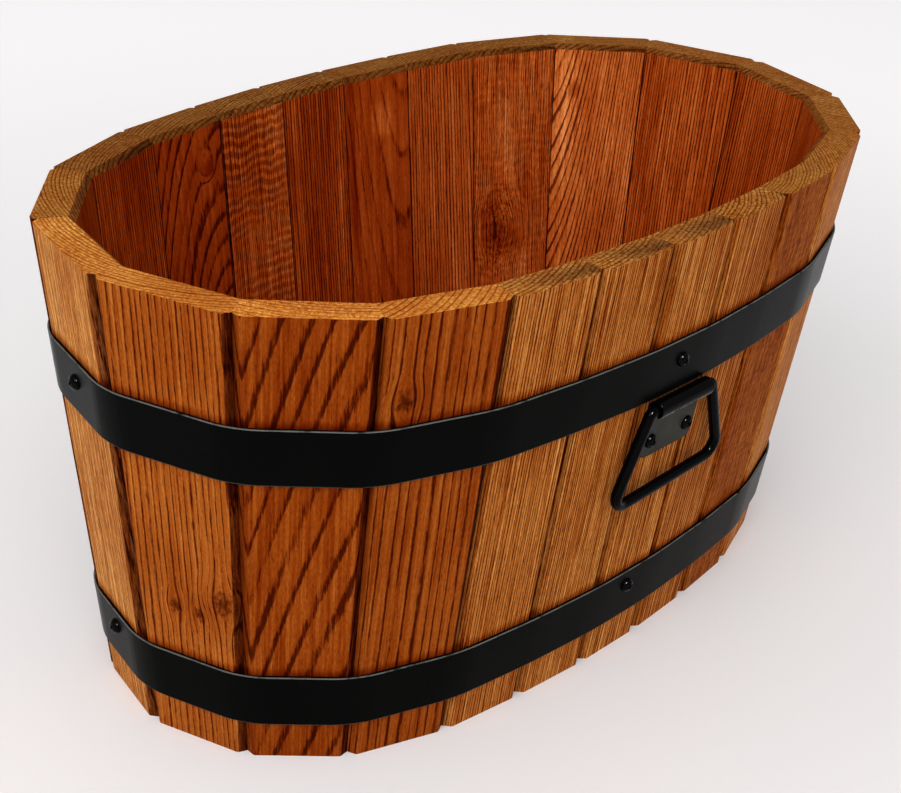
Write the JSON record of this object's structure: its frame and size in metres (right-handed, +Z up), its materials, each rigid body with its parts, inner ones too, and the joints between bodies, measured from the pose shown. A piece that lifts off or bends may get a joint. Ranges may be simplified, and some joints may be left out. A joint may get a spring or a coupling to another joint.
{
  "type": "staved planter tub",
  "caption": "Oval wooden planter with flared, mitred staves, bent black steel hoops, a let-in floor with drain holes and swinging drop handles.",
  "frame": {"origin": "On the ground, under the middle of the oval", "axes": "+X along the oval, -Y the front long side with a handle, +Z up"},
  "size_m": [0.5028, 0.29, 0.25],
  "materials": {
    "stained_oak": "satin",
    "hoop_paint": "satin",
    "handle_paint": "gloss",
    "screw_black": "gloss"
  },
  "bodies": {
    "tub": {"stave_01": "stained_oak", "stave_02": "stained_oak", "stave_03": "stained_oak", "stave_04": "stained_oak", "stave_05": "stained_oak", "stave_06": "stained_oak", "stave_07": "stained_oak", "stave_08": "stained_oak", "stave_09": "stained_oak", "stave_10": "stained_oak", "stave_11": "stained_oak", "stave_12": "stained_oak", "stave_13": "stained_oak", "stave_14": "stained_oak", "stave_15": "stained_oak", "stave_16": "stained_oak", "stave_17": "stained_oak", "stave_18": "stained_oak", "stave_19": "stained_oak", "stave_20": "stained_oak", "stave_21": "stained_oak", "stave_22": "stained_oak", "floor_board_1": "stained_oak", "floor_board_2": "stained_oak", "floor_board_3": "stained_oak", "upper_hoop": "hoop_paint", "lower_hoop": "hoop_paint", "front_handle_plate": "handle_paint", "back_handle_plate": "handle_paint", "upper_hoop_screws": "screw_black", "lower_hoop_screws": "screw_black", "handle_screws": "screw_black"},
    "front_bail": {"front_bail": "handle_paint"},
    "back_bail": {"back_bail": "handle_paint"}
  },
  "joints": [
    {"name": "front_bail_swing", "type": "hinge", "parent": "tub", "child": "front_bail", "pos_m": [0.004, -0.13875, 0.15915], "axis": [-1, 0, 0], "range_deg": [-1, 171]},
    {"name": "back_bail_swing", "type": "hinge", "parent": "tub", "child": "back_bail", "pos_m": [-0.004, 0.13875, 0.15915], "axis": [1, 0, 0], "range_deg": [-1, 171]}
  ]
}
